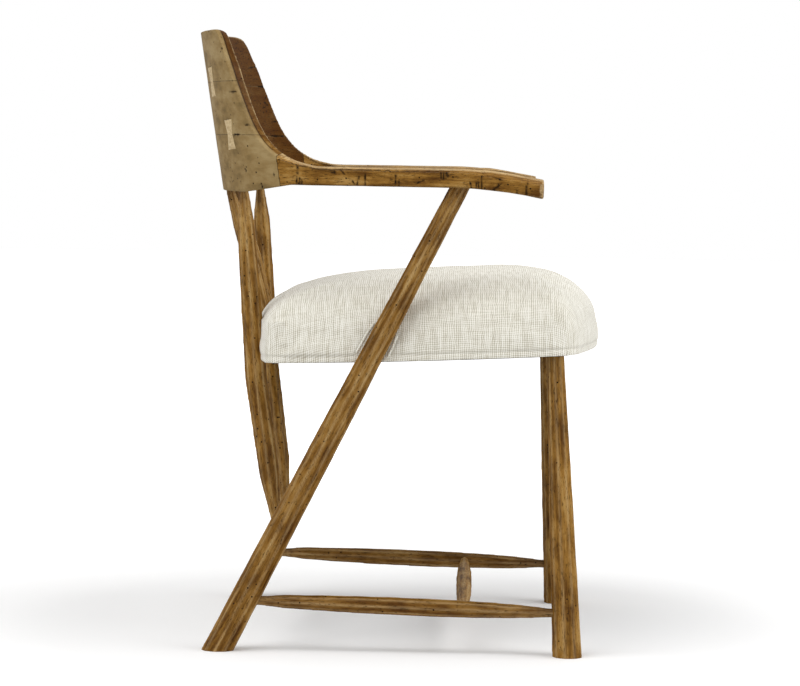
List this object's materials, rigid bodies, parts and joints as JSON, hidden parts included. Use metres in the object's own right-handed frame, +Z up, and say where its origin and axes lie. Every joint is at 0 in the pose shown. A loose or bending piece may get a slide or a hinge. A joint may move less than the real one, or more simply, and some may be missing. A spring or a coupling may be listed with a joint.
{
  "type": "dining armchair",
  "caption": "Driftwood-finish dining armchair: a curved plank back sweeps into flat arms on turned raking legs, with back spindles, stretchers and an upholstered linen seat.",
  "frame": {"origin": "on the floor below the middle of the chair's bounding box", "axes": "+Z up; the chair faces -Y; its left and right sides are -X and +X"},
  "size_m": [0.6034, 0.557, 0.822],
  "materials": {
    "driftwood": "satin",
    "key_wood": "satin",
    "frame_hardwood": "matte",
    "plywood": "matte",
    "foam": "matte",
    "linen": "matte",
    "cambric": "matte",
    "steel": "satin"
  },
  "bodies": {
    "root": {"back_board_upper": "driftwood", "back_board_middle": "driftwood", "back_board_lower": "driftwood", "arm_left": "driftwood", "arm_right": "driftwood", "rear_leg_left": "driftwood", "rear_leg_right": "driftwood", "front_leg_left": "driftwood", "front_leg_right": "driftwood", "back_post_left": "driftwood", "back_post_right": "driftwood", "back_spindle_left": "driftwood", "back_spindle_right": "driftwood", "side_stretcher_left": "driftwood", "side_stretcher_right": "driftwood", "centre_stretcher": "driftwood", "rear_stretcher": "driftwood", "butterfly_keys": "key_wood", "board_dowels": "key_wood", "arm_dowels": "key_wood", "seat_rail_front": "frame_hardwood", "seat_rail_rear": "frame_hardwood", "seat_rail_left": "frame_hardwood", "seat_rail_right": "frame_hardwood", "corner_blocks": "frame_hardwood", "seat_deck": "plywood", "seat_foam": "foam", "seat_cover": "linen", "dust_cover": "cambric", "leg_bolts": "steel", "post_screws": "steel", "corner_block_screws": "steel"}
  },
  "joints": []
}
